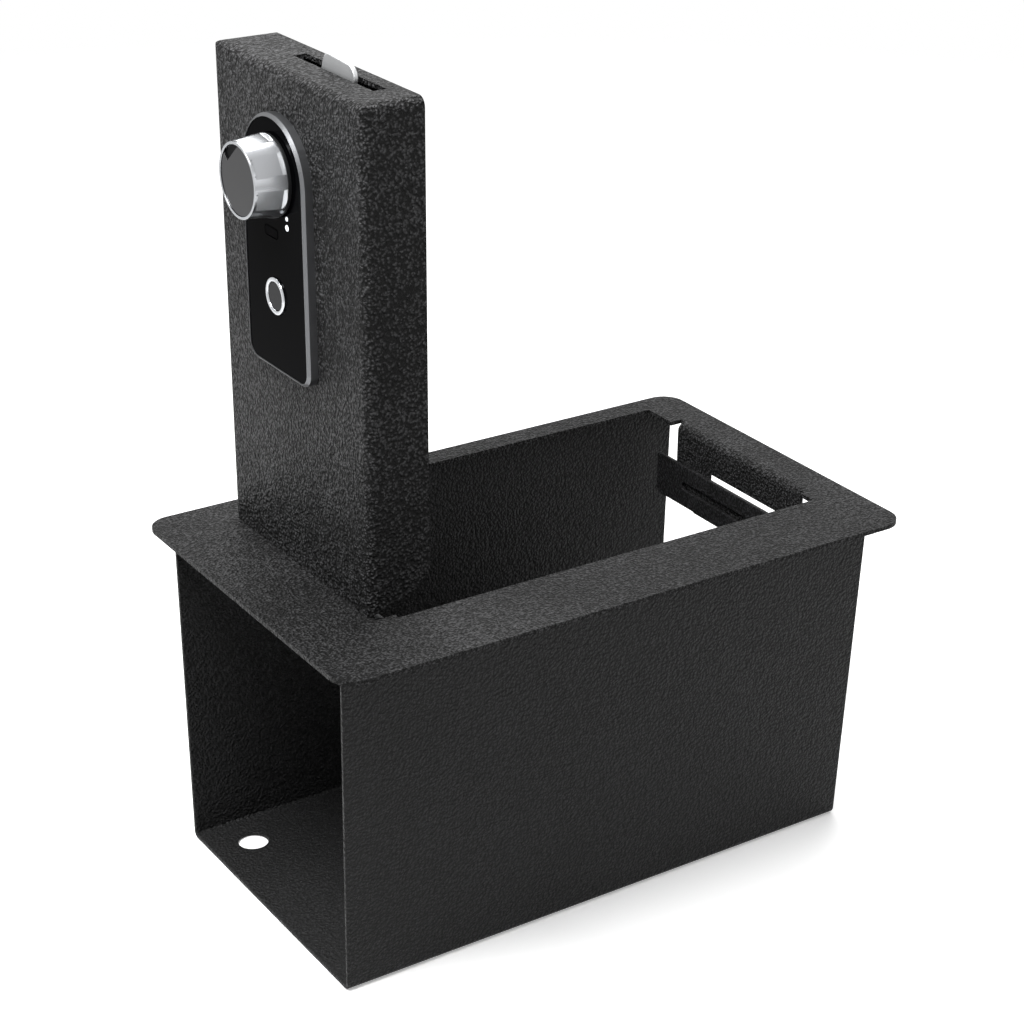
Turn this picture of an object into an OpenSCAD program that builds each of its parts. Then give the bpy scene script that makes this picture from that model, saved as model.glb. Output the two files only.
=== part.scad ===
// Console safe: an open-ended sheet steel trough hung under a wide rim, with a thick lid on
// a piano hinge. The lid carries a knob lock with a fingerprint reader, whose cam reaches
// through the lid's free end and under a window in the rim's rear lip.
// +X runs from the hinge end to the latch end, +Y to the far side, +Z up. The origin is on
// the floor's underside, at the middle of the floor. The lid stands open, as at rest.

/* [Trough] */
// Height from the floor's underside to the top of the rim
box_h = 165; // [140:1:220]
// Length of the floor, from its front end to its rear end
floor_l = 273; // [250:1:360]
// Width across the two walls where they meet the floor
floor_w = 150; // [140:1:200]
// How much longer the walls are at the top than at the floor
wall_rake = 5.2; // [0:0.1:12]
// How far each wall leans outward by its top edge
wall_flare = 2.5; // [0:0.1:5]
// Thickness of the folded steel sheet
sheet_t = 2; // [1.5:0.1:2.6]
// Outside radius of the fold between floor and wall
fold_r = 3.2; // [2.8:0.1:8]
// Diameter of the four fixing holes in the floor
hole_d = 14.4; // [8:0.1:18]
// Distance from the ends of the floor to the hole centres
hole_end_gap = 20.3; // [14:0.1:40]
// Distance across the floor between the hole centres
hole_span_y = 105.8; // [80:0.1:120]

/* [Rim] */
// Thickness of the rim plate
rim_t = 2; // [1.5:0.1:2.6]
// Overhang of the rim past the front ends of the walls
rim_front = 10.9; // [6:0.1:20]
// Overhang of the rim past the rear ends of the walls
rim_rear = 5.4; // [3:0.1:20]
// Overhang of the rim past the near wall
rim_near = 20.1; // [10:0.1:30]
// Overhang of the rim past the far wall
rim_far = 7.4; // [4:0.1:30]
// Radius of the rim's outer corners
rim_corner_r = 11; // [5:0.5:16]
// Rim plate from the front ends of the walls to the opening
strip_front = 38.5; // [34:0.1:50]
// Rim plate from the opening to the rear ends of the walls
strip_rear = 16.8; // [14:0.1:24]
// Rim plate from the near wall inward to the opening
strip_near = 19.8; // [8:0.1:26]
// Rim plate from the far wall inward to the opening
strip_far = 5; // [3:0.1:20]

/* [Latch end] */
// Gap between the opening's near side and the folded lip
lip_near_gap = 12.1; // [6:0.1:20]
// Gap between the folded lip and the opening's far side
lip_far_gap = 22.2; // [12:0.1:26]
// How far the lip reaches below the top of the rim
lip_drop = 43.3; // [36:0.1:50]
// Outside radius of the fold between rim and lip
lip_fold_r = 4; // [2.8:0.1:4.6]
// Width of the relief notch at each end of the lip
relief_w = 3.1; // [2:0.1:4.5]
// Distance from the walls' outsides to each end of the slotted strike bar
bar_end_gap = 11; // [8:0.5:18]
// Height of the strike bar
bar_h = 21.4; // [18:0.1:24]
// Distance from the ends of the strike bar to its slot
bar_slot_gap = 21; // [15:0.5:30]
// Height of the slot in the strike bar
bar_slot_h = 4.3; // [2:0.1:6]

/* [Lid] */
// Depth of the lid, from its outer face to its inner edge
lid_d = 28.5; // [28:0.1:36]
// Thickness of the lid's sheet
lid_t = 2; // [1.5:0.1:2.5]
// Outside radius of the lid's folded edges
lid_edge_r = 4.2; // [2.8:0.1:5]
// Gap between the closed lid's sides and the opening
lid_side_gap = 3.2; // [1.5:0.1:5]
// Gap between the closed lid's free end and the opening
lid_end_gap = 4.7; // [4.5:0.1:6]
// Thickness of the screwed cover inside the lid
cover_t = 1.5; // [1:0.1:2]
// Radius of the four cover posts
post_r = 3.5; // [3:0.1:4.5]

/* [Hinge] */
// Outside radius of the hinge knuckles
knuckle_r = 4; // [3.5:0.1:4.5]
// Radius of the hinge pin
pin_r = 2; // [1.5:0.1:2.2]
// Thickness of the hinge leaves
leaf_t = 2; // [1.5:0.1:2.2]
// Width of each hinge leaf
leaf_w = 20; // [14:0.5:24]
// Gap between the lid's sides and the ends of the hinge
hinge_end_gap = 3.9; // [2:0.1:12]
// Number of knuckles, an odd count so that both end ones sit on the rim
knuckles = 9; // [5:2:15]

/* [Lock] */
// Width of the lock's bezel
lock_w = 52.6; // [46:0.1:60]
// Length of the bezel below the knob's axis
lock_drop = 85.2; // [78:0.1:90]
// How far the bezel's arch is centred below the knob's axis
arch_drop = 1.4; // [0:0.1:3]
// How far the bezel stands out from the lid
bezel_d = 4.7; // [4:0.1:6]
// Radius of the bezel's lower corners
bezel_corner_r = 7; // [4:0.5:12]
// Width of the bezel's front edge round the panel
bezel_edge = 1.4; // [1.2:0.1:3]
// Distance from the knob's axis to the lid's free end
lock_end_gap = 42.5; // [41:0.1:45]
// Distance of the knob's axis from the lid's middle, to the far side
lock_shift = 4.1; // [0:0.1:6]
// Radius of the knob at its base
knob_base_r = 17.4; // [15:0.1:18.5]
// Radius of the knob at its front
knob_front_r = 15.7; // [13:0.1:17.4]
// Length of the knob
knob_l = 14; // [12:0.1:20]
// Number of flats round the knob
knob_flats = 7; // [6:1:9]
// Outside radius of the ring round the fingerprint reader
ring_r = 8; // [6.5:0.1:10]
// Distance from the knob's axis down to the reader's centre
ring_drop = 51.5; // [46:0.1:60]

/* [Cam] */
// Angle of the cam from its locked place, as it rests
cam_turn = 20; // [18:1:30]
// How far the locked cam reaches past the lid's free end
cam_reach = 11.1; // [9:0.1:11.4]
// Width of the cam
cam_w = 25; // [18:0.5:27]
// Thickness of the cam
cam_t = 2; // [1.5:0.1:2.4]
// Depth of the cam's middle below the lid's outer face
cam_depth = 18.8; // [18.3:0.1:19.4]
// Radius of the lock's spindle
spindle_r = 4; // [3.5:0.1:5]

/* [Hidden] */
$fn = 64;

// Clearances, and the overrun of every cut
overrun = 1;
slide_gap = 0.3;
seat_gap = 0.1;
run_gap = 0.08;

// Trough
front_x = -floor_l / 2;
wall_h = box_h - rim_t;
top_l = floor_l + wall_rake;
floor_half = floor_w / 2;
top_half = floor_half + wall_flare;
hole_x = floor_l / 2 - hole_end_gap;
hole_y = hole_span_y / 2;

// Rim and its opening
rim_x0 = front_x - rim_front;
rim_x1 = front_x + top_l + rim_rear;
rim_y0 = -top_half - rim_near;
rim_y1 = top_half + rim_far;
open_x0 = front_x + strip_front;
open_x1 = front_x + top_l - strip_rear;
open_y0 = -top_half + strip_near;
open_y1 = top_half - strip_far;
open_y = (open_y0 + open_y1) / 2;

// Hinge: its pin lies one knuckle below the rim plate and one behind the lid's plate
pin_z = box_h - rim_t - knuckle_r;
pin_u = lid_t + knuckle_r;
lid_base_z = box_h + seat_gap;
lid_front_gap = 0.9;
pin_x = open_x0 + lid_front_gap - (lid_base_z - pin_z);
lid_x = pin_x - pin_u;
leaf_gap = 0.5;

// Lid, in its own frame: origin on the outer face at the rim's top, in the lid's middle
lid_half = (open_y1 - open_y0) / 2 - lid_side_gap;
hinge_half = lid_half - hinge_end_gap;
hinge_y0 = open_y - hinge_half;
pitch = 2 * hinge_half / knuckles;
lid_h = open_x1 - lid_end_gap - pin_x + pin_z - box_h;
lid_v0 = lid_base_z - box_h;
inner_u = lid_d - cover_t;
recess_x = lid_x + lid_t - slide_gap;
recess_half_w = lid_half + slide_gap;
// The side walls' lower ends rise in two slants, to clear the rim as the lid turns
slant_u = 22;
slant_v0 = 2;
slant_v1 = 9.5;
slant_v2 = 17;
flange_u = lid_t + leaf_t + slide_gap;
flange_v = slant_v0 + (flange_u - lid_t) * (slant_v1 - slant_v0) / (slant_u - lid_t);

// Knob axis, and the cam's slot in the lid's free end
lock_v = lid_h - lock_end_gap;
slot_near = 48.6;
slot_far = 15.9;
slot_w = 6.2;

// Lip and strike bar
lip_set = 2.2;
lip_x = open_x1 + lip_set;
bend_x = lip_x + lip_fold_r;
bend_z = box_h - lip_fold_r;
lip_z0 = box_h - lip_drop;
lip_y0 = open_y0 + lip_near_gap;
lip_y1 = open_y1 - lip_far_gap;
lip_w = lip_y1 - lip_y0;
lip_taper_share = 0.165;
lip_taper_h = 8.3;
cam_z = box_h - cam_depth;
window_near_share = 0.058;
window_far_share = 0.273;
window_top = cam_z + cam_t / 2 + slide_gap;
window_h = 6.6;
bar_z1 = cam_z - cam_t / 2 - slide_gap;
bar_z0 = bar_z1 - bar_h;
bar_corner_r = 3;
bar_slot_share = 0.51;
bar_x = lip_x - sheet_t;
bar_l = floor_w - 2 * bar_end_gap;
bar_slot_l = bar_l - 2 * bar_slot_gap;

// Posts and screws that hold the cover, at the middles of its four corners
post_side_gap = 10;
post_low_v = 34;
post_end_gap = 14;
post_y = lid_half - post_side_gap;
post_places = [for (s = [-1, 1], v = [post_low_v, lid_h - post_end_gap]) [s * post_y, v]];
post_bore_l = 12;
screw_l = 10;
screw_r = 2;
screw_head_r = 3.6;
screw_head_h = 2;

// Lock
arch_r = lock_w / 2;
bezel_back = 2;
panel_set = 0.4;
panel_gap = 0.1;
panel_front = panel_set - bezel_d;
ring_t = 1.8;
ring_proud = 1.1;
pad_set = 0.5;
light_r = [0.95, 1.3];
light_drop = [15.5, 19.3];
light_shift = -11.4;
port_w = 11.4;
port_h = 4.4;
port_r = 1.6;
port_drop = 24.5;
port_shift = 2.3;
socket_w = 9;
socket_h = 3.2;
socket_wall = 0.4;
cable_w = 10;
cable_h = 8;

// Lock housing behind the lid's plate
housing_w = 44;
housing_up = 20.6;
housing_down = 70.4;
housing_wall = 2;
housing_r = 4;
housing_floor = lid_t + housing_wall;
cam_clear = 1.4;
housing_top = cam_depth - cam_t / 2 - cam_clear;
boss_r = 7;
boss_h = 4;
board_u = housing_floor + screw_head_h + slide_gap;
board_t = 1.6;
board_gap = 0.6;
board_hole_r = 8;
motor_r = (housing_top - housing_wall - board_u - board_t - slide_gap) / 2;
motor_l = 15;
motor_drop = 37.4;
motor_flat_share = 0.8;
lock_screw_r = 2;
lock_screw_gap = 1.4;
lock_screw_y = housing_w / 2 - housing_wall - screw_head_r - lock_screw_gap;
lock_screw_drop = [0, 62];

// Batteries, their box and its door
cell_r = 7.1;
cells = 4;
cell_gap = 0.3;
cell_pitch = 2 * cell_r + cell_gap;
tray_wall = 1.5;
tray_v0_share = 0.138;
tray_v0 = tray_v0_share * lid_h;
tray_half = cells * cell_pitch / 2 + cell_gap;
tray_u0 = inner_u - 2 * cell_r - 2 * cell_gap - tray_wall;
tray_flange = 5;
tray_flange_gap = 12.1;
door_gap = 0.4;
door_lap = 2;
door_tab = 9;
door_half = tray_half + door_lap;
door_end_gap = 11.9;
door_v0 = tray_v0 - door_lap;
door_v1 = lock_v - housing_down - door_end_gap;
tray_h = door_v1 - door_tab - tray_v0;
cell_l = tray_h - 2 * cell_gap - 2 * tray_wall;
tray_edge = post_y - post_r - tray_flange_gap;
door_boss_w = 9;
door_boss_h = 7;
door_boss_d = 8;
door_screw_r = 1.5;
door_screw_v = tray_v0 + tray_h + door_boss_h / 2;

// Knob
knob_gap = 0.3;
collar_t = 1.4;
collar_set = 0.4;
knob_u0 = panel_front - collar_t - knob_gap;
knob_u1 = knob_u0 - knob_l;
flat_depth = 0.62;
flat_rim = 1.2;
flat_ramp = 1.5;
base_land = 0.4;
flat_turn = 7;
knob_rim = 1.1;
cap_t = 1.6;
cap_set = 0.4;
cap_u = knob_u1 + cap_set + cap_t;
notch_turn = -40;
notch_share = 0.71;
notch_y0_share = -0.8;
notch_y1_share = 0.21;
key_r = 6;
key_l = 7;
keyway_w = 1.6;
keyway_h = 7;

// Spindle and cam
stud_r = 3;
stud_past = 0.5;
washer_r = 7;
washer_t = 1;
nut_w = 10;
nut_h = 3.5;
cam_u0 = cam_depth - cam_t / 2;
cam_hub_r = 10;
cam_shoulder = 14;
cam_lead_share = 0.56;
cam_tip_r = 5;
cam_tip_slope = 4.5;

// A rectangle with round corners, from its low corner to its high corner
module round_rect(x0, y0, x1, y1, r) {
    translate([x0 + r, y0]) square([x1 - x0 - 2 * r, y1 - y0]);
    translate([x0, y0 + r]) square([x1 - x0, y1 - y0 - 2 * r]);
    for (x = [x0 + r, x1 - r], y = [y0 + r, y1 - r]) {
        translate([x, y]) circle(r = r);
    }
}

// Lifts a flat outline drawn in Y and Z, from x0 to x1
module along_x(x0, x1) {
    translate([x0, 0, 0]) rotate([90, 0, 90]) linear_extrude(x1 - x0) children();
}

// Lifts a flat outline drawn in X and Z, from y0 to y1
module along_y(y0, y1) {
    translate([0, y1, 0]) rotate([90, 0, 0]) linear_extrude(y1 - y0) children();
}

// A round bar along X
module rod_x(x0, x1, r) {
    translate([x0, 0, 0]) rotate([0, 90, 0]) cylinder(h = x1 - x0, r = r);
}

// Both ends of a slot are half circles
module slot_shape(l, h) {
    translate([-(l - h) / 2, -h / 2]) square([l - h, h]);
    for (s = [-1, 1]) {
        translate([s * (l - h) / 2, 0]) circle(r = h / 2);
    }
}

module in_lid() {
    translate([lid_x, open_y, box_h]) children();
}

module at_lock() {
    in_lid() translate([0, lock_shift, lock_v]) children();
}

// Inside or outside outline of the folded trough, open at the top
module trough_outline(inset, top) {
    x1 = floor_half - fold_r;
    polygon([
        [-top_half + inset, top], [-floor_half + inset, fold_r], [-x1, inset],
        [x1, inset], [floor_half - inset, fold_r], [top_half - inset, top]
    ]);
    for (s = [-1, 1]) {
        translate([s * x1, fold_r]) circle(r = fold_r - inset);
    }
}

module trough() {
    color("#2b2b2b") difference() {
        intersection() {
            along_x(front_x, front_x + top_l) difference() {
                trough_outline(0, wall_h);
                trough_outline(sheet_t, wall_h + overrun);
            }
            along_y(-top_half - overrun, top_half + overrun) polygon([
                [front_x, 0], [front_x + floor_l, 0],
                [front_x + top_l, wall_h], [front_x, wall_h]
            ]);
        }
        for (x = [-hole_x, hole_x], y = [-hole_y, hole_y]) {
            translate([x, y, -overrun]) cylinder(h = sheet_t + 2 * overrun, d = hole_d);
        }
    }
}

module lip_outline() {
    taper = lip_taper_share * lip_w;
    window_w = lip_w * (1 - window_near_share - window_far_share);
    difference() {
        polygon([
            [lip_y0, bend_z], [lip_y0, lip_z0 + lip_taper_h], [lip_y0 + taper, lip_z0],
            [lip_y1 - taper, lip_z0], [lip_y1, lip_z0 + lip_taper_h], [lip_y1, bend_z]
        ]);
        translate([lip_y0 + window_near_share * lip_w, window_top - window_h]) {
            square([window_w, window_h]);
        }
    }
}

module rim_frame() {
    color("#3a3a3a") {
        translate([0, 0, wall_h]) linear_extrude(rim_t) difference() {
            round_rect(rim_x0, rim_y0, rim_x1, rim_y1, rim_corner_r);
            translate([open_x0, open_y0]) square([open_x1 - open_x0, open_y1 - open_y0]);
            translate([recess_x, open_y - recess_half_w]) {
                square([open_x1 - recess_x, 2 * recess_half_w]);
            }
            translate([open_x0, lip_y0 - relief_w]) square([lip_x - open_x0, lip_w]);
            translate([open_x0, lip_y0]) square([bend_x - open_x0, lip_w + relief_w]);
        }
        along_x(lip_x, lip_x + rim_t) lip_outline();
        along_y(lip_y0, lip_y1) translate([bend_x, bend_z]) intersection() {
            difference() {
                circle(r = lip_fold_r);
                circle(r = lip_fold_r - rim_t);
            }
            translate([-lip_fold_r, 0]) square(lip_fold_r);
        }
    }
}

module strike_bar() {
    half = bar_l / 2;
    corner = bar_corner_r;
    color("#1f1f1f") along_x(bar_x, lip_x) difference() {
        union() {
            translate([-half, bar_z0 + corner]) square([bar_l, bar_h - corner]);
            translate([-half + corner, bar_z0]) square([bar_l - 2 * corner, bar_h]);
            for (s = [-1, 1]) {
                translate([s * (half - corner), bar_z0 + corner]) circle(r = corner);
            }
        }
        translate([0, bar_z0 + bar_slot_share * bar_h]) slot_shape(bar_slot_l, bar_slot_h);
    }
}

// Every second knuckle of the hinge from the given one, each with the strap drawn as a child
module knuckle_row(first, bore_r) {
    for (i = [first:2:knuckles - 1]) {
        y0 = hinge_y0 + i * pitch + slide_gap / 2;
        along_y(y0, y0 + pitch - slide_gap) translate([pin_x, pin_z]) difference() {
            union() {
                circle(r = knuckle_r);
                children();
            }
            circle(r = bore_r);
        }
    }
}

module rim_hinge_leaf() {
    reach = knuckle_r + leaf_gap;
    color("#202020") {
        translate([pin_x - reach - leaf_w, hinge_y0, wall_h - leaf_t]) {
            cube([leaf_w, 2 * hinge_half, leaf_t]);
        }
        knuckle_row(0, pin_r) translate([-reach, knuckle_r - leaf_t]) square([reach, leaf_t]);
    }
}

module lid_hinge_leaf() {
    reach = knuckle_r + leaf_gap;
    color("#202020") {
        translate([lid_x + lid_t, hinge_y0, pin_z + reach]) {
            cube([leaf_t, 2 * hinge_half, leaf_w]);
        }
        knuckle_row(1, pin_r + run_gap) translate([-knuckle_r, 0]) square([leaf_t, reach]);
    }
}

module hinge_pin() {
    color("#9a9a9a") translate([pin_x, hinge_y0, pin_z]) {
        rotate([-90, 0, 0]) cylinder(h = 2 * hinge_half, r = pin_r);
    }
}

// Side view of the lid or of its hollow, in depth and height
module lid_side(inset, back) {
    r = lid_edge_r - inset;
    top = lid_h - inset;
    foot = [[0, lid_v0], [lid_t, lid_v0], [lid_t, slant_v0], [slant_u, slant_v1], [back, slant_v2]];
    low = inset == 0 ? foot : [[inset, -overrun], [back, -overrun]];
    difference() {
        polygon(concat(low, [[back, top], [inset, top]]));
        translate([inset, top - r]) difference() {
            translate([-overrun, 0]) square([r + overrun, r + overrun]);
            translate([r, 0]) circle(r = r);
            translate([r, -overrun]) square([overrun, r + 2 * overrun]);
        }
    }
}

// A solid block with the lid's folded edges, inset by a wall
module lid_block(inset, back) {
    half = lid_half - inset;
    r = lid_edge_r - inset;
    intersection() {
        along_y(-half, half) lid_side(inset, back);
        translate([0, 0, -overrun]) linear_extrude(lid_h + 2 * overrun) union() {
            round_rect(inset, -half, back, half, r);
            translate([inset + r, -half]) square([back - inset - r, 2 * half]);
        }
        along_x(-overrun, back + overrun) union() {
            round_rect(-half, -overrun, half, lid_h - inset, r);
            translate([-half, -overrun]) square([2 * half, lid_h - inset - r + overrun]);
        }
    }
}

module lid_pan() {
    color("#353535") difference() {
        in_lid() difference() {
            lid_block(0, lid_d);
            lid_block(lid_t, lid_d + overrun);
            translate([cam_depth - slot_w / 2, lock_shift - slot_near, lid_h - lid_t - overrun]) {
                cube([slot_w, slot_near + slot_far, lid_t + 2 * overrun]);
            }
        }
        at_lock() {
            rod_x(-overrun, lid_t + overrun, spindle_r + slide_gap);
            lock_holes(-overrun, lid_t + overrun);
        }
    }
}

// What passes through the bezel's back, the lid's plate and the housing's floor
module lock_holes(u0, u1) {
    for (d = lock_screw_drop, s = [-1, 1]) {
        translate([0, s * lock_screw_y, -d]) rod_x(u0, u1, lock_screw_r + seat_gap);
    }
    translate([u0, port_shift - socket_w / 2 - seat_gap, -port_drop - socket_h / 2 - seat_gap]) {
        cube([u1 - u0, socket_w + 2 * seat_gap, socket_h + 2 * seat_gap]);
    }
    translate([u0, -cable_w / 2, -ring_drop - cable_h / 2]) cube([u1 - u0, cable_w, cable_h]);
}

module lid_cover() {
    half = lid_half - lid_t - slide_gap;
    top = lid_h - lid_t - slide_gap;
    color("#262626") in_lid() difference() {
        along_y(-half, half) polygon([
            [inner_u, top], [lid_d, top], [lid_d, slant_v2], [slant_u, slant_v1],
            [flange_u, flange_v], [flange_u, flange_v + cover_t],
            [slant_u - cover_t / 2, slant_v1 + cover_t], [inner_u, slant_v2 + cover_t / 2]
        ]);
        translate([inner_u - overrun, -door_half, door_v0]) {
            cube([cover_t + 2 * overrun, 2 * door_half, door_v1 - door_v0]);
        }
        for (p = post_places) {
            translate([0, p[0], p[1]]) rod_x(inner_u - overrun, lid_d + overrun, screw_r + seat_gap);
        }
    }
}

module cover_posts() {
    color("#b8b8b8") in_lid() for (p = post_places) {
        translate([0, p[0], p[1]]) difference() {
            rod_x(lid_t, inner_u, post_r);
            rod_x(inner_u - post_bore_l, inner_u + overrun, screw_r + seat_gap);
        }
    }
}

module cover_screws() {
    color("#c8c8c8") in_lid() for (p = post_places) {
        translate([0, p[0], p[1]]) {
            rod_x(lid_d - screw_l, lid_d, screw_r);
            rod_x(lid_d, lid_d + screw_head_h, screw_head_r);
        }
    }
}

// Arched outline of the bezel, or of the panel in it
module arch(inset) {
    r = arch_r - inset;
    corner = bezel_corner_r - inset;
    low = -lock_drop + inset;
    translate([0, -arch_drop]) circle(r = r);
    translate([-r, low + corner]) square([2 * r, -low - corner - arch_drop]);
    translate([-r + corner, low]) square([2 * (r - corner), -low - arch_drop]);
    for (s = [-1, 1]) {
        translate([s * (r - corner), low + corner]) circle(r = corner);
    }
}

module lock_bezel() {
    color("#8d9196") at_lock() difference() {
        along_x(-bezel_d, 0) arch(0);
        along_x(-bezel_d - overrun, -bezel_back) arch(bezel_edge);
        rod_x(-bezel_d - overrun, overrun, spindle_r + slide_gap);
        lock_holes(-bezel_back - overrun, overrun);
    }
}

module lock_panel() {
    color("#0b0b0c") at_lock() difference() {
        along_x(panel_front, -bezel_back) arch(bezel_edge + panel_gap);
        rod_x(panel_front - overrun, overrun, spindle_r + slide_gap);
        translate([0, 0, -ring_drop]) rod_x(panel_front - overrun, overrun, ring_r + seat_gap);
        for (i = [0, 1]) {
            translate([0, light_shift, -light_drop[i]]) {
                rod_x(panel_front - overrun, overrun, light_r[i] + seat_gap);
            }
        }
        along_x(panel_front - overrun, overrun) port_outline(seat_gap);
    }
}

module knob_collar() {
    color("#141414") at_lock() difference() {
        rod_x(panel_front - collar_t, panel_front, knob_base_r - collar_set);
        rod_x(panel_front - collar_t - overrun, panel_front + overrun, spindle_r + slide_gap);
    }
}

module port_outline(grow) {
    w = port_w / 2 + grow;
    h = port_h / 2 + grow;
    translate([port_shift, -port_drop]) round_rect(-w, -h, w, h, port_r + grow);
}

module sensor_ring() {
    color("#d6d8da") at_lock() translate([0, 0, -ring_drop]) difference() {
        rod_x(panel_front - ring_proud, -bezel_back, ring_r);
        rod_x(panel_front - ring_proud - overrun, -bezel_back + overrun, ring_r - ring_t);
    }
}

module sensor_pad() {
    color("#17181a") at_lock() translate([0, 0, -ring_drop]) {
        rod_x(panel_front - ring_proud + pad_set, -bezel_back, ring_r - ring_t - seat_gap);
    }
}

module status_lights() {
    color("#f2f4f6") at_lock() for (i = [0, 1]) {
        translate([0, light_shift, -light_drop[i]]) rod_x(panel_front - seat_gap, -bezel_back, light_r[i]);
    }
}

module port_cover() {
    color("#141414") at_lock() along_x(panel_front - seat_gap, -bezel_back) port_outline(0);
}

module power_port() {
    color("#b0b4b8") at_lock() translate([0, port_shift, -port_drop]) difference() {
        translate([-bezel_back, -socket_w / 2, -socket_h / 2]) {
            cube([board_u + bezel_back, socket_w, socket_h]);
        }
        translate([-bezel_back - overrun, -socket_w / 2 + socket_wall, -socket_h / 2 + socket_wall]) {
            cube([bezel_back + lid_t + overrun, socket_w - 2 * socket_wall, socket_h - 2 * socket_wall]);
        }
    }
}

module housing_outline(inset) {
    half = housing_w / 2 - inset;
    round_rect(-half, -housing_down + inset, half, housing_up - inset, housing_r - inset);
}

module lock_housing() {
    color("#222428") at_lock() difference() {
        union() {
            difference() {
                along_x(lid_t, housing_top - housing_wall) housing_outline(0);
                along_x(housing_floor, housing_top) housing_outline(housing_wall);
            }
            rod_x(lid_t, housing_floor + boss_h, boss_r);
        }
        rod_x(0, housing_top, spindle_r + run_gap);
        lock_holes(0, housing_floor + overrun);
    }
}

module housing_cover() {
    color("#2a2c30") at_lock() difference() {
        along_x(housing_top - housing_wall, housing_top) housing_outline(0);
        rod_x(housing_top - 2 * housing_wall, housing_top + overrun, spindle_r + slide_gap);
    }
}

module lock_screws() {
    color("#c8c8c8") at_lock() for (d = lock_screw_drop, s = [-1, 1]) {
        translate([0, s * lock_screw_y, -d]) {
            rod_x(-bezel_back, housing_floor, lock_screw_r);
            rod_x(housing_floor, housing_floor + screw_head_h, screw_head_r);
        }
    }
}

module circuit_board() {
    inset = housing_wall + board_gap;
    color("#1f5a34") at_lock() difference() {
        along_x(board_u, board_u + board_t) housing_outline(inset);
        rod_x(board_u - overrun, board_u + board_t + overrun, board_hole_r);
    }
}

module clutch_motor() {
    half = motor_flat_share * motor_r;
    color("#a8a8a8") at_lock() translate([board_u + board_t + motor_r, 0, -motor_drop - motor_l]) {
        intersection() {
            cylinder(h = motor_l, r = motor_r);
            translate([-motor_r, -half, 0]) cube([2 * motor_r, 2 * half, motor_l]);
        }
    }
}

module battery_box() {
    wall = tray_wall;
    color("#1d1d1f") in_lid() difference() {
        union() {
            translate([tray_u0, -tray_half - wall, tray_v0]) {
                cube([inner_u - tray_u0, 2 * (tray_half + wall), tray_h]);
            }
            translate([inner_u - wall, -tray_edge, door_v0 - tray_flange]) {
                cube([wall, 2 * tray_edge, door_v1 - door_v0 + 2 * tray_flange]);
            }
            translate([inner_u - door_boss_d, -door_boss_w / 2, tray_v0 + tray_h]) {
                cube([door_boss_d, door_boss_w, door_boss_h]);
            }
        }
        translate([tray_u0 + wall, -tray_half, tray_v0 + wall]) {
            cube([inner_u - tray_u0, 2 * tray_half, tray_h - 2 * wall]);
        }
        door_screw_hole();
    }
}

module batteries() {
    u = tray_u0 + tray_wall + cell_r;
    color("#3c6ea8") in_lid() for (i = [0:cells - 1]) {
        y = (i - (cells - 1) / 2) * cell_pitch;
        translate([u, y, tray_v0 + tray_wall + cell_gap]) cylinder(h = cell_l, r = cell_r);
    }
}

module battery_door() {
    half = door_half - door_gap;
    color("#1a1a1a") in_lid() difference() {
        translate([inner_u, -half, door_v0 + door_gap]) {
            cube([cover_t, 2 * half, door_v1 - door_v0 - 2 * door_gap]);
        }
        door_screw_hole();
    }
}

module door_screw_hole() {
    translate([0, 0, door_screw_v]) rod_x(lid_d - screw_l, lid_d + overrun, door_screw_r + seat_gap);
}

module door_screw() {
    color("#c8c8c8") in_lid() translate([0, 0, door_screw_v]) {
        rod_x(lid_d - door_boss_d, lid_d, door_screw_r);
        rod_x(lid_d, lid_d + screw_head_h, screw_head_r);
    }
}

module knob() {
    color("#c9ccd0") at_lock() difference() {
        translate([knob_u1, 0, 0]) rotate([0, 90, 0]) {
            cylinder(h = knob_l, r1 = knob_front_r, r2 = knob_base_r);
        }
        for (i = [0:knob_flats - 1]) {
            rotate([flat_turn + 360 * i / knob_flats, 0, 0]) knob_flat();
        }
        rod_x(knob_u1 - overrun, cap_u, knob_front_r - knob_rim);
        rod_x(knob_u1, cap_u + key_l, key_r);
        rod_x(knob_u1, knob_u0 + overrun, spindle_r);
    }
}

// Room taken off the knob by one flat, which starts behind the round rim and runs out
// in a slope by the base
module knob_flat() {
    u0 = knob_u1 + flat_rim;
    u1 = knob_u0 - base_land - flat_ramp;
    lean = (knob_base_r - knob_front_r) / knob_l;
    r0 = knob_front_r + lean * flat_rim - flat_depth;
    r1 = knob_base_r - lean * (base_land + flat_ramp) - flat_depth;
    rise = flat_depth + lean * flat_ramp;
    along_y(-knob_base_r, knob_base_r) polygon([
        [u0, r0], [u1, r1], [u1 + 2 * flat_ramp, r1 + 2 * rise], [u0, r1 + 2 * rise]
    ]);
}

module knob_cap() {
    r = knob_front_r - knob_rim - seat_gap;
    y0 = notch_y0_share * r;
    y1 = notch_y1_share * r;
    color("#0d0d0e") at_lock() difference() {
        rod_x(cap_u - cap_t, cap_u, r);
        rotate([notch_turn, 0, 0]) translate([cap_u - cap_t - overrun, y0, notch_share * r]) {
            cube([cap_t / 2 + overrun, y1 - y0, r]);
        }
    }
}

module key_cylinder() {
    color("#b59a5a") at_lock() difference() {
        rod_x(cap_u, cap_u + key_l, key_r - seat_gap);
        translate([cap_u - overrun, -keyway_w / 2, -keyway_h / 2]) {
            cube([key_l, keyway_w, keyway_h]);
        }
    }
}

module spindle() {
    color("#a9adb1") at_lock() {
        rod_x(cap_u + key_l, cam_u0, spindle_r);
        rod_x(cam_u0, cam_u0 + cam_t + washer_t + nut_h + stud_past, stud_r);
    }
}

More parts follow.
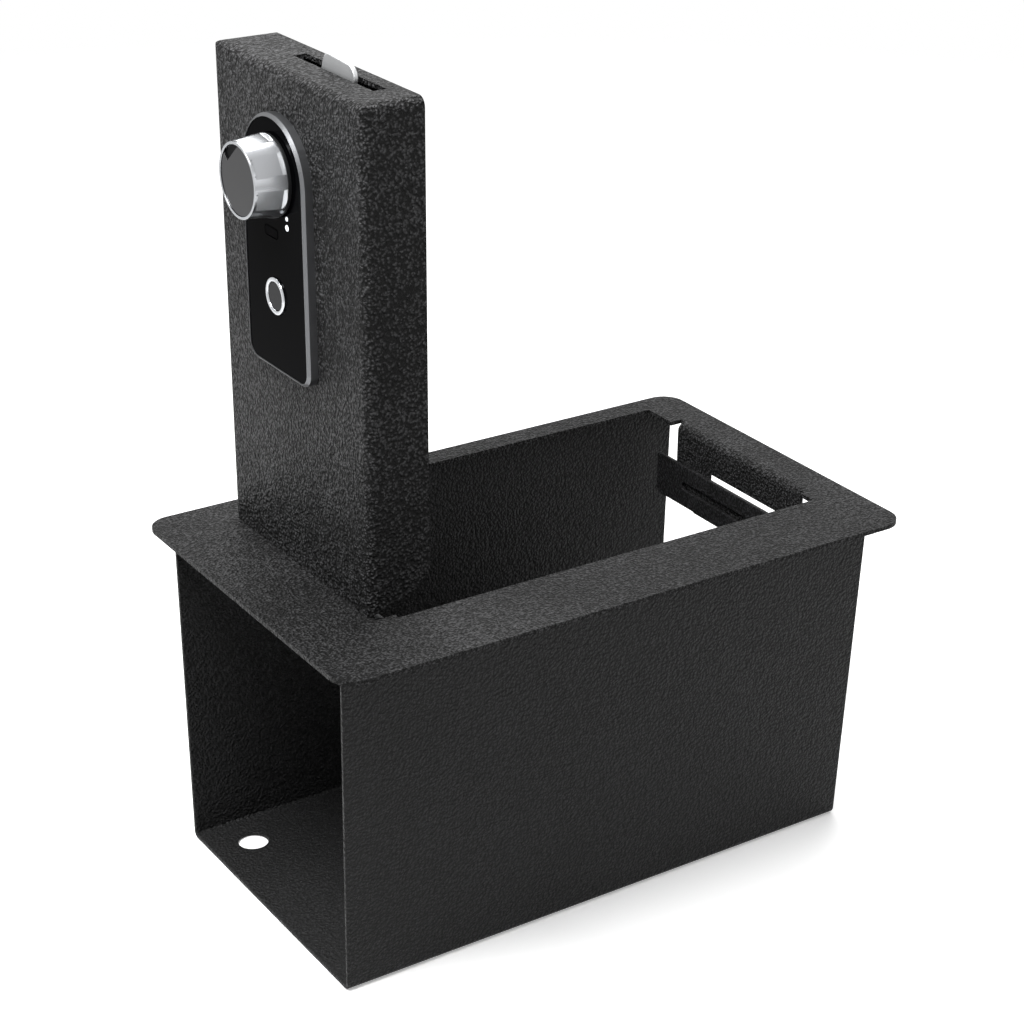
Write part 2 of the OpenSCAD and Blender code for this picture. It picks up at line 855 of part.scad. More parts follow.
// The cam widens from its hub, and its tip slopes down to the trailing side
module cam_outline() {
    tip = lock_end_gap + cam_reach;
    lead = cam_w * cam_lead_share;
    trail = cam_w - lead;
    r = cam_tip_r;
    a = [trail - r, tip - cam_tip_slope - r];
    b = [r - lead, tip - r];
    n = [a[1] - b[1], b[0] - a[0]] * -r / norm(a - b);
    circle(r = cam_hub_r);
    polygon([
        [cam_hub_r, 0], [trail, cam_shoulder], [trail, a[1]], a + n,
        b + n, [-lead, b[1]], [-lead, cam_shoulder], [-cam_hub_r, 0]
    ]);
    translate(a) circle(r = r);
    translate(b) circle(r = r);
}

module cam() {
    color("#bfc3c6") at_lock() rotate([cam_turn, 0, 0]) difference() {
        along_x(cam_u0, cam_u0 + cam_t) cam_outline();
        rod_x(cam_u0 - overrun, cam_u0 + cam_t + overrun, stud_r);
    }
}

module cam_washer() {
    u0 = cam_u0 + cam_t;
    color("#c8c8c8") at_lock() difference() {
        rod_x(u0, u0 + washer_t, washer_r);
        rod_x(u0 - overrun, u0 + washer_t + overrun, stud_r);
    }
}

module cam_nut() {
    u0 = cam_u0 + cam_t + washer_t;
    color("#c8c8c8") at_lock() difference() {
        translate([u0, 0, 0]) rotate([0, 90, 0]) cylinder(h = nut_h, d = nut_w / cos(30), $fn = 6);
        rod_x(u0 - overrun, u0 + nut_h + overrun, stud_r);
    }
}

trough();
rim_frame();
strike_bar();
rim_hinge_leaf();
hinge_pin();
lid_pan();
lid_hinge_leaf();
lid_cover();
cover_posts();
cover_screws();
lock_bezel();
lock_panel();
knob_collar();
sensor_ring();
sensor_pad();
status_lights();
port_cover();
power_port();
lock_housing();
housing_cover();
lock_screws();
circuit_board();
clutch_motor();
battery_box();
batteries();
battery_door();
door_screw();
knob();
knob_cap();
key_cylinder();
spindle();
cam();
cam_washer();
cam_nut();
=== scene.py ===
"""A console safe standing open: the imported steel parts, dressed for a studio picture.

Lengths are in millimetres until they reach a mesh, and 1 mm is MM in Blender's metres.
"""

import math

import bmesh
import bpy
from mathutils import Euler, Matrix, Vector


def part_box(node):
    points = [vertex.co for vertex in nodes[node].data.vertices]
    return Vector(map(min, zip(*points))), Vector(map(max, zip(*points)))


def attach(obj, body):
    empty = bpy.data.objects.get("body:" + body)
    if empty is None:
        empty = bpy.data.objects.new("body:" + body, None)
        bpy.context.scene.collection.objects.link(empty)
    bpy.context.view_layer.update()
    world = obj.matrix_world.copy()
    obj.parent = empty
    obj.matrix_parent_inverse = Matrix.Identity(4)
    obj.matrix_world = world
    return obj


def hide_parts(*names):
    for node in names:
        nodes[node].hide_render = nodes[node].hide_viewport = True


MM = 0.001
# Corners closer than this are one corner, and faces that turn less than this are one face
WELD = 0.002 * MM
FLAT_TURN = math.radians(0.6)
# Edges that turn more than this are sharp in the solids
CAD_EDGE = math.radians(32)
# Edges that turn more than this stay crisp in a spun shape
SPUN_EDGE_DEG = 40
SPIN_STEPS = 40

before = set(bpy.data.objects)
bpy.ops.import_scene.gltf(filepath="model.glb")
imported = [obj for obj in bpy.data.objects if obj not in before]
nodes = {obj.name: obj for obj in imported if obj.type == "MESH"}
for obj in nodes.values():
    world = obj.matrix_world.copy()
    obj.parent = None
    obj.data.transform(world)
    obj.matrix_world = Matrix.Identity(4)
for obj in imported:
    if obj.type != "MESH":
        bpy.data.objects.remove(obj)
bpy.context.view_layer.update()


# Small helpers


def linear(hex_colour):
    """An sRGB hex colour as a linear RGBA tuple."""
    def channel(i):
        c = int(hex_colour[i:i + 2], 16) / 255
        return c / 12.92 if c <= 0.04045 else ((c + 0.055) / 1.055) ** 2.4

    return (channel(1), channel(3), channel(5), 1.0)


def per_metre(size_mm):
    """Texture scale that gives features of this size on Object coordinates."""
    return 1.0 / (size_mm * MM)


def add(tree, kind, settings=None, inputs=None):
    """Adds a node; an input given as a socket is linked, and anything else is set."""
    made = tree.nodes.new(kind)
    for name, value in (settings or {}).items():
        setattr(made, name, value)
    for key, value in (inputs or {}).items():
        if isinstance(value, bpy.types.NodeSocket):
            tree.links.new(value, made.inputs[key])
        else:
            made.inputs[key].default_value = value
    return made


def new_material(name):
    """An empty node material, its tree and its output node."""
    material = bpy.data.materials.new(name)
    material.use_nodes = True
    material.node_tree.nodes.clear()
    return material, material.node_tree, add(material.node_tree, "ShaderNodeOutputMaterial")


def object_place(tree):
    return add(tree, "ShaderNodeTexCoord").outputs["Object"]


# Finishes


def powder_coat(name, dark, light, grain, depth, rough, gleam):
    """Baked wrinkle powder coat: sprayed black powder that crawls into low rounded grains as it
    melts. It gives the eye a matt black with a pebbled sparkle where light skims it. The real
    grains are about 0.8 mm, and are drawn coarser so that they show in the picture. Its colour
    follows the grains' height: darker in the creases as painted shade and paler on the crowns
    as painted highlight, under random patches of tone. Its gleam is low, because the creases
    swallow most of the shine."""
    drift_mm, bend, crease_mm, patch_mm = grain * 2.6, grain * MM * 0.6, grain * 1.3, 45
    pebble_share, patch_share = -0.8, 0.3
    shade_in_creases_at, highlight_on_crowns_at = 0.20, 0.58
    material, tree, out = new_material(name)
    place = object_place(tree)
    drift = add(tree, "ShaderNodeTexNoise", None,
                {"Vector": place, "Scale": per_metre(drift_mm), "Detail": 2.0})
    bent = add(tree, "ShaderNodeMixRGB", {"blend_type": "LINEAR_LIGHT"},
               {"Fac": bend, "Color1": place, "Color2": drift.outputs["Color"]})
    pebbles = add(tree, "ShaderNodeTexVoronoi", {"feature": "SMOOTH_F1"},
                  {"Vector": bent.outputs["Color"], "Scale": per_metre(grain), "Smoothness": 0.4,
                   "Randomness": 1.0})
    creases = add(tree, "ShaderNodeTexNoise", None,
                  {"Vector": bent.outputs["Color"], "Scale": per_metre(crease_mm),
                   "Detail": 3.0, "Roughness": 0.6})
    height = add(tree, "ShaderNodeMath", {"operation": "MULTIPLY_ADD"},
                 {0: pebbles.outputs["Distance"], 1: pebble_share, 2: creases.outputs["Fac"]})
    bump = add(tree, "ShaderNodeBump", None,
               {"Strength": 1.0, "Distance": depth * MM, "Height": height.outputs[0]})
    patches = add(tree, "ShaderNodeTexNoise", None,
                  {"Vector": place, "Scale": per_metre(patch_mm), "Detail": 2.0})
    tone_and_painted_relief = add(tree, "ShaderNodeMath", {"operation": "MULTIPLY_ADD"},
               {0: patches.outputs["Fac"], 1: patch_share, 2: height.outputs[0]})
    # Painted shade and painted highlight: the colour runs from the dark colour in the creases to
    # the light one on the crowns, with the grains' height
    colour = add(tree, "ShaderNodeValToRGB", None, {"Fac": tone_and_painted_relief.outputs[0]})
    ramp = colour.color_ramp.elements
    ramp[0].position, ramp[0].color = shade_in_creases_at, linear(dark)
    ramp[1].position, ramp[1].color = highlight_on_crowns_at, linear(light)
    gloss = add(tree, "ShaderNodeMapRange", None,
                {"Value": creases.outputs["Fac"], "From Min": 0.3, "From Max": 0.7,
                 "To Min": rough + 0.10, "To Max": rough - 0.08})
    shader = add(tree, "ShaderNodeBsdfPrincipled", None,
                 {"Base Color": colour.outputs["Color"], "Roughness": gloss.outputs["Result"],
                  "Normal": bump.outputs["Normal"], "Specular IOR Level": gleam})
    tree.links.new(shader.outputs[0], out.inputs["Surface"])
    return material


def metal(name, colour, rough, spread=0.05, scratch_mm=0.0, along="X"):
    """Bare or plated metal. A scratch width gives it brushed lines along one axis; without one
    it is polished and only its roughness wanders a little, as hands and cloths leave it."""
    smear_mm, scratch_deep_mm, least_rough = 9, 0.01, 0.02
    material, tree, out = new_material(name)
    place = object_place(tree)
    stretch = {"X": (0.04, 1, 1), "Y": (1, 0.04, 1), "Z": (1, 1, 0.04)}[along]
    if scratch_mm:
        lines = add(tree, "ShaderNodeMapping", None, {"Vector": place, "Scale": stretch})
        grain = add(tree, "ShaderNodeTexNoise", None,
                    {"Vector": lines.outputs["Vector"], "Scale": per_metre(scratch_mm),
                     "Detail": 3.0, "Roughness": 0.7})
    else:
        grain = add(tree, "ShaderNodeTexNoise", None,
                    {"Vector": place, "Scale": per_metre(smear_mm), "Detail": 4.0})
    gloss = add(tree, "ShaderNodeMapRange", None,
                {"Value": grain.outputs["Fac"], "From Min": 0.3, "From Max": 0.7,
                 "To Min": max(rough - spread, least_rough), "To Max": rough + spread})
    shader = add(tree, "ShaderNodeBsdfPrincipled", None,
                 {"Base Color": linear(colour), "Metallic": 1.0,
                  "Roughness": gloss.outputs["Result"]})
    if scratch_mm:
        bump = add(tree, "ShaderNodeBump", None,
                   {"Strength": 0.5, "Distance": scratch_deep_mm * MM,
                    "Height": grain.outputs["Fac"]})
        tree.links.new(bump.outputs["Normal"], shader.inputs["Normal"])
    tree.links.new(shader.outputs[0], out.inputs["Surface"])
    return material


def plastic(name, colour, rough, grain_mm, depth, level=0.5):
    """Moulded plastic or rubber: one even colour, with the mould's fine spark texture. A higher
    level gives the eye more of the studio in it."""
    cloud_mm, wander, least_rough = 14, 0.03, 0.02
    material, tree, out = new_material(name)
    place = object_place(tree)
    spark = add(tree, "ShaderNodeTexNoise", None,
                {"Vector": place, "Scale": per_metre(grain_mm), "Detail": 3.0})
    cloud = add(tree, "ShaderNodeTexNoise", None,
                {"Vector": place, "Scale": per_metre(cloud_mm), "Detail": 2.0})
    gloss = add(tree, "ShaderNodeMapRange", None,
                {"Value": cloud.outputs["Fac"], "To Min": max(rough - wander, least_rough),
                 "To Max": rough + wander})
    bump = add(tree, "ShaderNodeBump", None,
               {"Strength": 1.0, "Distance": depth * MM, "Height": spark.outputs["Fac"]})
    shader = add(tree, "ShaderNodeBsdfPrincipled", None,
                 {"Base Color": linear(colour), "Roughness": gloss.outputs["Result"],
                  "Normal": bump.outputs["Normal"], "Specular IOR Level": level})
    tree.links.new(shader.outputs[0], out.inputs["Surface"])
    return material


def lit_lens(name, colour, glow):
    """A clear lens over a white lamp, seen lit."""
    material, tree, out = new_material(name)
    shader = add(tree, "ShaderNodeBsdfPrincipled", None,
                 {"Base Color": linear(colour), "Roughness": 0.15,
                  "Emission Color": linear(colour), "Emission Strength": glow})
    tree.links.new(shader.outputs[0], out.inputs["Surface"])
    return material


def circuit_laminate(name):
    """Green varnished glass-epoxy board, with the paler copper tracks showing through."""
    track_mm = 26
    material, tree, out = new_material(name)
    place = object_place(tree)
    tracks = add(tree, "ShaderNodeTexBrick", {"offset": 0.37, "squash": 0.6},
                 {"Vector": place, "Scale": per_metre(track_mm), "Mortar Size": 0.012,
                  "Color1": linear("#1b5230"), "Color2": linear("#1e5a35"),
                  "Mortar": linear("#5f8a4a")})
    shader = add(tree, "ShaderNodeBsdfPrincipled", None,
                 {"Base Color": tracks.outputs["Color"], "Roughness": 0.3})
    tree.links.new(shader.outputs[0], out.inputs["Surface"])
    return material


# Wrinkle powder on the folded steel, one black coat in copies painted at different tones. The lid
# and rim are the coarser, and their copies are painted paler with stronger grain, as painted
# light;
# the box and the bar, which are sprayed thinner, are smoother, and their copies are painted darker
# and flatter, as painted shade
LID_COAT = powder_coat("wrinkle_coat_lid", "#161616", "#4d4d4e", grain=1.3, depth=1.4,
                       rough=0.42, gleam=0.07)
RIM_COAT = powder_coat("wrinkle_coat_rim", "#171717", "#4a4a4b", grain=1.15, depth=1.4,
                       rough=0.42, gleam=0.07)
BOX_COAT = powder_coat("wrinkle_coat_box", "#1f1f1f", "#2d2d2e", grain=1.35, depth=1.0,
                       rough=0.44, gleam=0.11)
BAR_COAT = powder_coat("smooth_coat_bar", "#181818", "#38383a", grain=1.2, depth=0.50,
                       rough=0.42, gleam=0.12)

# Nickel and chrome plate, polished on the reader's ring and satin on the knob, so that the
# knob's flats show soft gradients
CHROME = metal("polished_chrome_plate", "#c4c6c9", rough=0.12, spread=0.02)
KNOB_CHROME = metal("satin_chrome_plate", "#b2b4b7", rough=0.24, spread=0.02)

# Cast zinc of the bezel, blasted dull, and chamfered smoother round its front, where the metal is
# painted paler as a painted highlight
# Painted highlight on the bezel's chamfer: a paler copy of the casting's zinc
CHAMFER_PAINTED_HIGHLIGHT = metal("bright_cut_edge", "#e2e4e6", rough=0.18, spread=0.03)
SATIN = metal("satin_zinc_casting", "#707173", rough=0.40, scratch_mm=0.35, along="X")

# Rolled steel: zinc plated on the fittings, tumbled on the cam, blackened on the hinge
ZINC = metal("zinc_plated_steel", "#b9bbbd", rough=0.30, spread=0.06, scratch_mm=0.3, along="Z")
CAM_PLATE = metal("bright_zinc_cam", "#bfc0c1", rough=0.58, scratch_mm=0.3, along="Z")
HINGE_STEEL = metal("blackened_hinge_steel", "#3a3b3d", rough=0.45, spread=0.08, scratch_mm=0.4,
                    along="Y")

# Turned brass of the key cylinder
BRASS = metal("machined_brass", "#b99b5e", rough=0.28, scratch_mm=0.2, along="X")

# Gloss mouldings. The panel and the port cover stand in dark surroundings, so their level is
# low; the cap faces the studio, and shows it as a grey
GLOSS_PANEL = plastic("gloss_black_panel", "#040405", 0.06, 0.5, 0.0005, level=0.006)
CAP_GLOSS = plastic("gloss_black_cap", "#1b1b1d", 0.16, 0.5, 0.001, level=0.28)
# Painted shade for the cap's finger notch: darker and duller than the cap's gloss
NOTCH_PAINTED_SHADE = plastic("shaded_notch", "#060607", 0.5, 0.4, 0.005, level=0.05)
PAD = plastic("reader_glass", "#0d0e10", 0.16, 0.4, 0.002, level=0.10)
# Painted highlight along the port cover's rubber edge
PORT_EDGE_PAINTED_HIGHLIGHT = plastic("port_cover_edge", "#8c8d8f", 0.35, 0.4, 0.002, level=0.3)

# Matt mouldings, rubber and shrink sleeve
MOULDED = plastic("matt_black_moulding", "#101112", 0.55, 0.5, 0.02, level=0.3)
RUBBER = plastic("soft_black_rubber", "#070708", 0.45, 0.4, 0.01, level=0.005)
CELL_WRAP = plastic("shrink_wrap_sleeve", "#2f5f96", 0.3, 1.2, 0.01)
LENS = lit_lens("white_lamp_lens", "#f2f6fa", 1.1)
LAMINATE = circuit_laminate("green_circuit_laminate")


# Making pieces


def finished(obj, body, materials, replaced=()):
    """Gives a made piece its materials, its body and the nodes it stands for."""
    obj.data.materials.clear()
    for material in materials:
        obj.data.materials.append(material)
    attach(obj, body)
    if replaced:
        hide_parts(*replaced)
    return obj


def applied(obj):
    """Turns an object with modifiers into one plain mesh at the origin."""
    depsgraph = bpy.context.evaluated_depsgraph_get()
    mesh = bpy.data.meshes.new_from_object(obj.evaluated_get(depsgraph))
    obj.modifiers.clear()
    old, obj.data = obj.data, mesh
    mesh.name = obj.name
    bpy.data.meshes.remove(old)
    return obj


def put(name, bm, smooth_deg=None):
    """A linked object from a bmesh in millimetres."""
    bmesh.ops.scale(bm, vec=(MM, MM, MM), verts=bm.verts)
    mesh = bpy.data.meshes.new(name)
    bm.to_mesh(mesh)
    bm.free()
    if smooth_deg is not None:
        mesh.shade_smooth()
        mesh.set_sharp_from_angle(angle=math.radians(smooth_deg))
    obj = bpy.data.objects.new(name, mesh)
    bpy.context.scene.collection.objects.link(obj)
    return obj


def outer_front(edge, front, centre):
    """Whether an edge runs round the outside of a face that looks along -X."""
    near, upright = 0.01 * MM, 0.5
    if len(edge.link_faces) != 2 or any(abs(v.co.x - front) > near for v in edge.verts):
        return False
    side = min(edge.link_faces, key=lambda f: abs(f.normal.x))
    across = (edge.verts[0].co + edge.verts[1].co) / 2 - centre
    return abs(side.normal.x) < upright and side.normal.dot(across) > 0


def rounded_copy(node, edge_mm, segments=3, chamfer_slot=None):
    """A node's own shape with its sharp edges rounded, as a thick coat or a mould leaves them.
    With a chamfer slot, only the outer front edges are cut, and they take that material."""
    bm = bmesh.new()
    bm.from_mesh(nodes[node].data)
    bmesh.ops.remove_doubles(bm, verts=bm.verts, dist=WELD)
    bmesh.ops.dissolve_limit(bm, angle_limit=FLAT_TURN, verts=bm.verts, edges=bm.edges)
    if chamfer_slot:
        low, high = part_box(node)
        weight = bm.edges.layers.float.new("bevel_weight_edge")
        for edge in bm.edges:
            edge[weight] = outer_front(edge, low[0], (low + high) / 2)
    mesh = bpy.data.meshes.new(node + "_shape")
    bm.to_mesh(mesh)
    bm.free()
    mesh.materials.clear()
    mesh.materials.append(MOULDED)
    if chamfer_slot:
        mesh.materials.append(MOULDED)
    mesh.shade_smooth()
    mesh.set_sharp_from_angle(angle=CAD_EDGE)
    obj = bpy.data.objects.new(node + "_shape", mesh)
    bpy.context.scene.collection.objects.link(obj)
    bevel = obj.modifiers.new("round", "BEVEL")
    bevel.width = edge_mm * MM
    bevel.segments = segments
    bevel.limit_method = "WEIGHT" if chamfer_slot else "ANGLE"
    bevel.angle_limit = CAD_EDGE
    bevel.use_clamp_overlap = True
    bevel.miter_outer = "MITER_ARC" if segments > 1 else "MITER_SHARP"
    if chamfer_slot:
        bevel.material = chamfer_slot
    weights = obj.modifiers.new("even", "WEIGHTED_NORMAL")
    weights.keep_sharp = True
    return applied(obj)


def lathe(bm, profile):
    """Spins (u, r) points about the X axis, and closes both ends."""
    rings = []
    for u, r in profile:
        turns = [2 * math.pi * i / SPIN_STEPS for i in range(SPIN_STEPS)]
        rings.append([bm.verts.new((u, r * math.sin(a), r * math.cos(a))) for a in turns])
    for a, b in zip(rings, rings[1:]):
        for i in range(SPIN_STEPS):
            j = (i + 1) % SPIN_STEPS
            bm.faces.new((a[i], a[j], b[j], b[i]))
    bm.faces.new(rings[0])
    bm.faces.new(rings[-1][::-1])


# Steel box and lid

for node, body, edge, coat in (
    ("trough", "safe_box", 0.55, BOX_COAT),
    ("rim_frame", "safe_box", 0.60, RIM_COAT),
    ("strike_bar", "safe_box", 0.45, BAR_COAT),
    ("lid_pan", "lid", 0.70, LID_COAT),
    ("lid_cover", "lid", 0.40, BOX_COAT),
    ("rim_hinge_leaf", "safe_box", 0.25, HINGE_STEEL),
    ("lid_hinge_leaf", "lid", 0.25, HINGE_STEEL),
    ("hinge_pin", "safe_box", 0.30, ZINC),
    ("lock_housing", "lid", 0.30, MOULDED),
    ("housing_cover", "lid", 0.30, MOULDED),
    ("battery_box", "lid", 0.30, MOULDED),
    ("battery_door", "lid", 0.35, MOULDED),
    ("cover_posts", "lid", 0.20, ZINC),
    ("clutch_motor", "lid", 0.25, ZINC),
    ("power_port", "lid", 0.15, ZINC),
    ("circuit_board", "lid", 0.10, LAMINATE),
    ("lock_panel", "lid", 0.20, GLOSS_PANEL),
    ("sensor_ring", "lid", 0.55, CHROME),
    ("sensor_pad", "lid", 0.30, PAD),
    ("status_lights", "lid", 0.20, LENS),
    ("knob_collar", "lid", 0.20, MOULDED),
    ("knob", "lock_knob", 0.18, KNOB_CHROME),
    ("key_cylinder", "lock_knob", 0.20, BRASS),
    ("spindle", "lock_knob", 0.25, ZINC),
    ("cam", "lock_knob", 0.45, CAM_PLATE),
    ("cam_washer", "lock_knob", 0.15, ZINC),
    ("cam_nut", "lock_knob", 0.35, ZINC),
):
    finished(rounded_copy(node, edge), body, [coat], [node])

# The cap's finger notch, with the faces behind the cap's front, takes a darker, duller moulding
# than the gloss round it: painted shade
cap = finished(rounded_copy("knob_cap", 0.15), "lock_knob", [CAP_GLOSS, NOTCH_PAINTED_SHADE],
               ["knob_cap"])
CAP_FACE_DEPTH = 0.25
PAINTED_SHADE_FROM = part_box("knob_cap")[0][0] + CAP_FACE_DEPTH * MM
for face in cap.data.polygons:
    face.material_index = int(face.center.x > PAINTED_SHADE_FROM)

# The bezel is a satin casting whose outer front edges are chamfered, and the chamfer takes the
# paler, smoother metal of a painted highlight
finished(rounded_copy("lock_bezel", 1.2, 1, chamfer_slot=1), "lid",
         [SATIN, CHAMFER_PAINTED_HIGHLIGHT], ["lock_bezel"])

# The port's rubber cover has its outer front edge painted pale grey, a painted highlight that
# shows as a thin pale line where it meets the panel
finished(rounded_copy("port_cover", 0.45, 1, chamfer_slot=1), "lid",
         [RUBBER, PORT_EDGE_PAINTED_HIGHLIGHT], ["port_cover"])


# Screws and cells

SCREW_HEAD = 2.0


def screw_unit():
    """Pan-head machine screw lying along X, head outwards, with a cross recess."""
    head_r, shank_r, tip_r, tip_at, bevel_at = 3.6, 2.0, 1.2, -9.8, -9.2
    recess = (1.6, 0.75, 3.9)
    dome_deg, dome_swell = (82, 72, 60, 48, 36, 24, 12), 0.75
    bm = bmesh.new()
    dome = [(SCREW_HEAD * math.cos(a), head_r * math.sin(a) ** dome_swell)
            for a in map(math.radians, dome_deg)]
    lathe(bm, [(tip_at, tip_r), (bevel_at, shank_r), (0.0, shank_r), (0.0, head_r)] + dome)
    bmesh.ops.recalc_face_normals(bm, faces=bm.faces)
    body = put("screw_unit", bm, SPUN_EDGE_DEG)
    for turn in (0, 90):
        cutter = bmesh.new()
        bmesh.ops.create_cube(cutter, size=1.0)
        bmesh.ops.scale(cutter, vec=recess, verts=cutter.verts)
        bmesh.ops.rotate(cutter, cent=(0, 0, 0), verts=cutter.verts,
                         matrix=Euler((math.radians(turn), 0, 0)).to_matrix())
        bmesh.ops.translate(cutter, vec=(SCREW_HEAD, 0, 0), verts=cutter.verts)
        bar = put("screw_bar", cutter)
        cut = body.modifiers.new("cross", "BOOLEAN")
        cut.operation, cut.object, cut.solver = "DIFFERENCE", bar, "EXACT"
        applied(body)
        bpy.data.objects.remove(bar)
    return body


def cell_unit():
    """Dry cell standing along Z: sleeve, rolled rims, a nub at the top."""
    r, tall = 7.1, 50.0
    profile = [(0.0, 6.0), (0.25, 6.6), (0.9, r), (tall - 1.9, r), (tall - 1.3, 6.5),
               (tall - 1.2, 2.8), (tall - 0.2, 2.7), (tall, 2.4)]
    bm = bmesh.new()
    lathe(bm, profile)
    bmesh.ops.rotate(bm, cent=(0, 0, 0), verts=bm.verts,
                     matrix=Euler((0, math.radians(-90), 0)).to_matrix())
    bmesh.ops.recalc_face_normals(bm, faces=bm.faces)
    return put("cell_unit", bm, SPUN_EDGE_DEG)


def repeat(name, unit, places_mm, material, most_turn_deg=0.0, seed=1):
    """Geometry Nodes that set a copy of unit at each place, turned at random about X."""
    tree = bpy.data.node_groups.new(name + "_nodes", "GeometryNodeTree")
    face = tree.interface
    face.new_socket("Places", in_out="INPUT", socket_type="NodeSocketGeometry")
    unit_in = face.new_socket("Unit", in_out="INPUT", socket_type="NodeSocketObject")
    turn_in = face.new_socket("Most Turn", in_out="INPUT", socket_type="NodeSocketFloat")
    seed_in = face.new_socket("Seed", in_out="INPUT", socket_type="NodeSocketInt")
    face.new_socket("Geometry", in_out="OUTPUT", socket_type="NodeSocketGeometry")
    given = add(tree, "NodeGroupInput").outputs
    points = add(tree, "GeometryNodeMeshToPoints", None, {"Mesh": given["Places"]})
    shape = add(tree, "GeometryNodeObjectInfo", None, {"Object": given["Unit"]})
    chance = add(tree, "FunctionNodeRandomValue", {"data_type": "FLOAT"},
                 {2: 0.0, 3: given["Most Turn"], "Seed": given["Seed"]})
    turn = add(tree, "ShaderNodeCombineXYZ", None, {"X": chance.outputs[1]})
    copies = add(tree, "GeometryNodeInstanceOnPoints", None,
                 {"Points": points.outputs["Points"], "Instance": shape.outputs["Geometry"],
                  "Rotation": turn.outputs["Vector"]})
    real = add(tree, "GeometryNodeRealizeInstances", None, {"Geometry": copies.outputs[0]})
    painted = add(tree, "GeometryNodeSetMaterial", None,
                  {"Geometry": real.outputs[0], "Material": material})
    add(tree, "NodeGroupOutput", None, {"Geometry": painted.outputs[0]})
    mesh = bpy.data.meshes.new(name)
    mesh.from_pydata([Vector(p) * MM for p in places_mm], [], [])
    obj = bpy.data.objects.new(name, mesh)
    bpy.context.scene.collection.objects.link(obj)
    modifier = obj.modifiers.new("repeat", "NODES")
    modifier.node_group = tree
    modifier[unit_in.identifier] = unit
    modifier[turn_in.identifier] = math.radians(most_turn_deg)
    modifier[seed_in.identifier] = seed
    return applied(obj)


def islands(node):
    """Low and high corner of each separate solid in a node, in millimetres."""
    bm = bmesh.new()
    bm.from_mesh(nodes[node].data)
    bmesh.ops.remove_doubles(bm, verts=bm.verts, dist=WELD)
    left, found = set(bm.verts), []
    while left:
        stack, group = [left.pop()], []
        while stack:
            v = stack.pop()
            group.append(v.co.copy() / MM)
            for e in v.link_edges:
                w = e.other_vert(v)
                if w in left:
                    left.discard(w)
                    stack.append(w)
        found.append((Vector(map(min, *group)), Vector(map(max, *group))))
    bm.free()
    return sorted(found, key=lambda b: tuple(b[0]))


SCREW = screw_unit()
for name, node, seed in (("cover_screw_set", "cover_screws", 3),
                         ("door_screw_set", "door_screw", 5)):
    places = [(high[0] - SCREW_HEAD, (low[1] + high[1]) / 2, (low[2] + high[2]) / 2)
              for low, high in islands(node)]
    finished(repeat(name, SCREW, places, ZINC, 90, seed), "lid", [ZINC], [node])
finished(rounded_copy("lock_screws", 0.3), "lid", [ZINC], ["lock_screws"])

CELL = cell_unit()
places = [((low[0] + high[0]) / 2, (low[1] + high[1]) / 2, low[2])
          for low, high in islands("batteries")]
finished(repeat("dry_cells", CELL, places, CELL_WRAP), "lid",
         [CELL_WRAP], ["batteries"])

for unit in (SCREW, CELL):
    bpy.data.objects.remove(unit)


# Studio


def shown_ray(tree):
    """1 where a camera, a mirror or clear glass looks, and 0 where a surface gathers its light."""
    seen = add(tree, "ShaderNodeLightPath").outputs
    direct = add(tree, "ShaderNodeMath", {"operation": "MAXIMUM"},
                 {0: seen["Is Camera Ray"], 1: seen["Is Glossy Ray"]})
    through = add(tree, "ShaderNodeMath", {"operation": "MAXIMUM"},
                  {0: direct.outputs[0], 1: seen["Is Transmission Ray"]})
    return through.outputs[0]


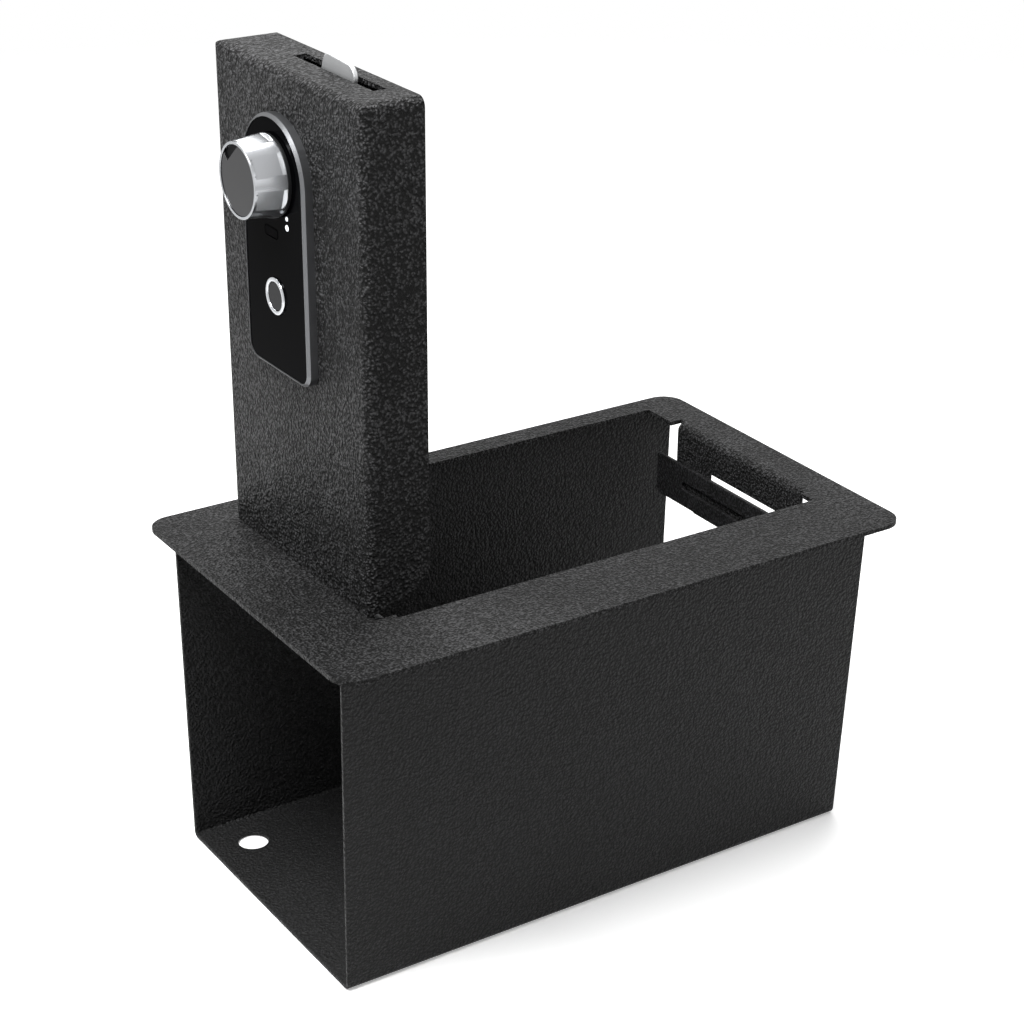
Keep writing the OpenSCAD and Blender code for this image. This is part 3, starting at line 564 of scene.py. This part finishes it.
def studio_floor():
    """A wide matt paper floor. Cameras and mirrors see it white, with the object's shadow, and
    it runs out into the white of the world where no shadow reaches."""
    radius_mm, steps, below_mm = 14000.0, 96, 0.2
    lift_strength, fade_from_m, fade_to_m = 0.3, 0.7, 1.6
    material, tree, out = new_material("white_paper_floor")
    shown = shown_ray(tree)
    colour = add(tree, "ShaderNodeMixRGB", None,
                 {"Fac": shown, "Color1": linear("#b2b2b2"), "Color2": linear("#ffffff")})
    paper = add(tree, "ShaderNodeBsdfDiffuse", None, {"Color": colour.outputs["Color"]})
    level = add(tree, "ShaderNodeMath", {"operation": "MULTIPLY"}, {0: shown, 1: lift_strength})
    lift = add(tree, "ShaderNodeEmission", None,
               {"Color": linear("#ffffff"), "Strength": level.outputs[0]})
    both = add(tree, "ShaderNodeAddShader", None, {0: paper.outputs[0], 1: lift.outputs[0]})
    reach = add(tree, "ShaderNodeVectorMath", {"operation": "LENGTH"}, {0: object_place(tree)})
    far = add(tree, "ShaderNodeMapRange", None,
              {"Value": reach.outputs["Value"], "From Min": fade_from_m, "From Max": fade_to_m})
    away = add(tree, "ShaderNodeMath", {"operation": "MULTIPLY"}, {0: shown, 1: far.outputs[0]})
    open_white = add(tree, "ShaderNodeEmission", None, {"Color": linear("#ffffff")})
    whole = add(tree, "ShaderNodeMixShader", None,
                {0: away.outputs[0], 1: both.outputs[0], 2: open_white.outputs[0]})
    tree.links.new(whole.outputs[0], out.inputs["Surface"])
    bm = bmesh.new()
    bmesh.ops.create_circle(bm, cap_ends=True, segments=steps, radius=radius_mm)
    floor = put("floor", bm)
    floor.data.transform(Matrix.Translation((0, 0, -below_mm * MM)))
    floor.data.materials.append(material)


def area_light(name, place_mm, aim_mm, size_mm, watts):
    """A soft box at one place, facing another."""
    light = bpy.data.lights.new(name, "AREA")
    light.shape = "RECTANGLE"
    light.size, light.size_y = size_mm[0] * MM, size_mm[1] * MM
    light.energy = watts
    obj = bpy.data.objects.new(name, light)
    obj.location = Vector(place_mm) * MM
    obj.rotation_euler = (Vector(aim_mm) - Vector(place_mm)).to_track_quat("-Z", "Y").to_euler()
    bpy.context.scene.collection.objects.link(obj)


def studio_world(ambient):
    """A room that lights the object dimly, and that cameras and mirrors see white."""
    world = bpy.data.worlds.new("studio")
    world.use_nodes = True
    tree = world.node_tree
    tree.nodes.clear()
    strength = add(tree, "ShaderNodeMapRange", None,
                   {"Value": shown_ray(tree), "To Min": ambient, "To Max": 1.0})
    sky = add(tree, "ShaderNodeBackground", None,
              {"Color": linear("#ffffff"), "Strength": strength.outputs["Result"]})
    add(tree, "ShaderNodeOutputWorld", None, {"Surface": sky.outputs[0]})
    bpy.context.scene.world = world


def camera():
    """The camera that took the picture, solved from the box's edges."""
    place_mm, turn_deg = (-544.37, -828.13, 622.47), (63.6336, -0.6752, -33.6123)
    lens = bpy.data.cameras.new("camera")
    lens.lens, lens.sensor_width = 84.12, 36.0
    lens.shift_x, lens.shift_y = -0.0300, 0.0688
    lens.clip_start, lens.clip_end = 0.05, 60.0
    obj = bpy.data.objects.new("camera", lens)
    obj.location = Vector(place_mm) * MM
    obj.rotation_euler = Euler([math.radians(a) for a in turn_deg], "XYZ")
    bpy.context.scene.collection.objects.link(obj)
    bpy.context.scene.camera = obj


# The key skims the lid's face from above, so that the coat's grains show
camera()
studio_floor()
studio_world(ambient=0.21)
area_light("key_left", (-450, -100, 950), (-120, 0, 280), (400, 400), watts=12)
area_light("top_back", (500, 900, 1700), (0, 0, 150), (1500, 1500), watts=28)
area_light("front_fill", (900, -2200, 900), (0, 0, 150), (1000, 1400), watts=7)

bpy.context.scene.view_settings.view_transform = "Standard"
